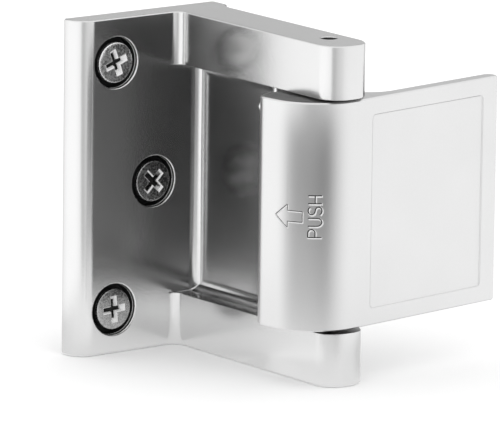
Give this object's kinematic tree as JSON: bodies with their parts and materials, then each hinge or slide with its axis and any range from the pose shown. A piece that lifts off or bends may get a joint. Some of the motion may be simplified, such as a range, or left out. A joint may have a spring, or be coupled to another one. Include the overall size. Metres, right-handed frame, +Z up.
{
  "type": "door reinforcement lock",
  "caption": "Door frame bracket with a pin-hung leaf: push the sprung leaf towards the frame, then swing it across the door to block it or back to free it.",
  "frame": {"origin": "on the bracket's back face, at half height, straight behind the hinge axis", "axes": "+X from the frame side towards the door side, +Y out of the back face into the frame, +Z up along the hinge axis"},
  "size_m": [0.0807, 0.071, 0.0762],
  "materials": {
    "jamb_bracket": "satin nickel",
    "mounting_screw_top": "bright zinc",
    "mounting_screw_middle": "bright zinc",
    "mounting_screw_bottom": "bright zinc",
    "hinge_pin": "plain steel",
    "upper_guide_block": "plain bronze",
    "lower_guide_block": "plain bronze",
    "upper_outer_spring": "spring wire",
    "upper_inner_spring": "spring wire",
    "lower_outer_spring": "spring wire",
    "lower_inner_spring": "spring wire",
    "swing_leaf": "satin nickel",
    "heel_pin": "bright zinc"
  },
  "bodies": {
    "bracket": {"jamb_bracket": "jamb_bracket", "mounting_screw_top": "mounting_screw_top", "mounting_screw_middle": "mounting_screw_middle", "mounting_screw_bottom": "mounting_screw_bottom", "hinge_pin": "hinge_pin"},
    "swivel": {"upper_guide_block": "upper_guide_block", "lower_guide_block": "lower_guide_block", "upper_outer_spring": "upper_outer_spring", "upper_inner_spring": "upper_inner_spring", "lower_outer_spring": "lower_outer_spring", "lower_inner_spring": "lower_inner_spring"},
    "leaf": {"swing_leaf": "swing_leaf", "heel_pin": "heel_pin"}
  },
  "joints": [
    {"name": "leaf_swing", "type": "hinge", "parent": "bracket", "child": "swivel", "pos_m": [0, -0.0512, 0], "axis": [0, 0, 1], "range_deg": [-188, 80]},
    {"name": "leaf_push", "type": "slide", "parent": "swivel", "child": "leaf", "axis": [-0.9898, -0.1426, 0], "range_m": [0, 0.0015], "stiffness_N_per_m": 4000, "deforming": ["upper_outer_spring", "upper_inner_spring", "lower_outer_spring", "lower_inner_spring"]}
  ]
}
